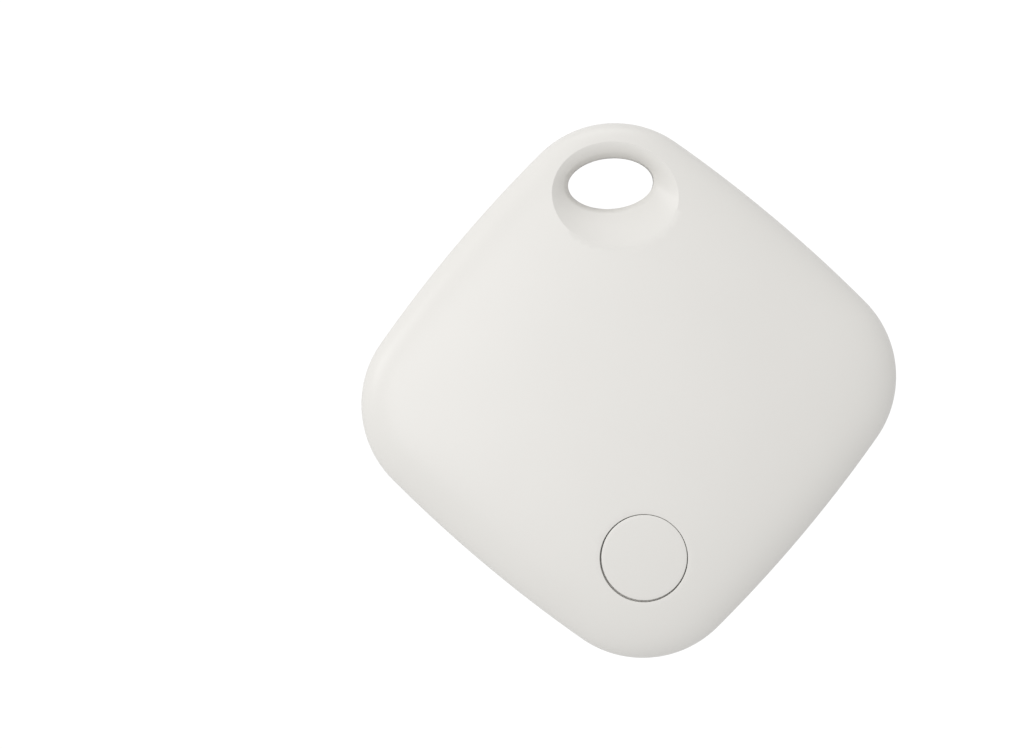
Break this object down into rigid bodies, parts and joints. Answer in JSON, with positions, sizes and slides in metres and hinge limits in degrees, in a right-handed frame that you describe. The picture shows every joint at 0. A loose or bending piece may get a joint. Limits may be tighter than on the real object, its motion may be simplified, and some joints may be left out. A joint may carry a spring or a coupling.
{
  "type": "bluetooth tracker tag",
  "caption": "Flat rounded-square Bluetooth tracker tag in off-white plastic, with a dished key-ring hole in one corner, a flush round button opposite and a twist-off battery cover in the back.",
  "frame": {"origin": "middle of the flat rest face of the rear shell", "axes": "+Z out of the front face, +Y towards the key-ring corner, +X to the right as seen from the front"},
  "size_m": [0.045, 0.045, 0.0074],
  "materials": {
    "shell_plastic": "fine satin texture",
    "button_plastic": "fine satin texture",
    "cover_plastic": "fine satin texture",
    "seal_rubber": "soft matte",
    "sleeve_rubber": "translucent soft matte",
    "cell_steel": "bright nickel plate",
    "gasket_plastic": "smooth",
    "cell_filling": "dull",
    "board_laminate": "solder resist",
    "screw_steel": "zinc plate",
    "pad_gold": "gold flash",
    "spring_steel": "nickel plate",
    "switch_plastic": "fine matte",
    "switch_disc_metal": "bright",
    "plunger_plastic": "smooth",
    "buzzer_brass": "rolled brass",
    "buzzer_ceramic": "silvered ceramic",
    "adhesive": "foam tape",
    "lead_red": "wire insulation",
    "lead_black": "wire insulation",
    "chip_plastic": "moulding compound",
    "crystal_can": "bright lid",
    "antenna_ceramic": "glazed ceramic",
    "ferrite": "sintered",
    "capacitor_ceramic": "ceramic with tinned ends",
    "resistor_film": "film with tinned ends"
  },
  "bodies": {
    "housing": {"front_shell": "shell_plastic", "rear_shell": "shell_plastic", "perimeter_seal": "seal_rubber", "button_sleeve": "sleeve_rubber", "cell_can": "cell_steel", "cell_cap": "cell_steel", "cell_gasket": "gasket_plastic", "cell_core": "cell_filling", "circuit_board": "board_laminate", "board_screws": "screw_steel", "contact_pads": "pad_gold", "positive_contact": "spring_steel", "negative_contact": "spring_steel", "switch_body": "switch_plastic", "switch_plate": "spring_steel", "switch_disc": "switch_disc_metal", "buzzer_plate": "buzzer_brass", "buzzer_ceramic": "buzzer_ceramic", "buzzer_adhesive": "adhesive", "buzzer_lead_live": "lead_red", "buzzer_lead_ground": "lead_black", "radio_chip": "chip_plastic", "motion_sensor": "chip_plastic", "crystal": "crystal_can", "chip_antenna": "antenna_ceramic", "inductor": "ferrite", "capacitors": "capacitor_ceramic", "resistors": "resistor_film"},
    "button": {"button_cap": "button_plastic"},
    "plunger": {"switch_plunger": "plunger_plastic"},
    "cover": {"battery_cover": "cover_plastic", "cover_seal": "seal_rubber"}
  },
  "joints": [
    {"name": "button_press", "type": "slide", "parent": "housing", "child": "button", "axis": [0, 0, -1], "range_m": [0, 0.00025], "stiffness_N_per_m": 4000, "deforming": ["button_sleeve"]},
    {"name": "plunger_press", "type": "slide", "parent": "housing", "child": "plunger", "axis": [0, 0, -1], "range_m": [0, 0.00025]},
    {"name": "cover_twist", "type": "hinge", "parent": "housing", "child": "cover", "pos_m": [0, 0, 0], "axis": [0, 0, -1], "range_deg": [0, 35]}
  ],
  "couplings": [
    {"joint": "plunger_press", "follows": "button_press", "ratio": 1}
  ]
}
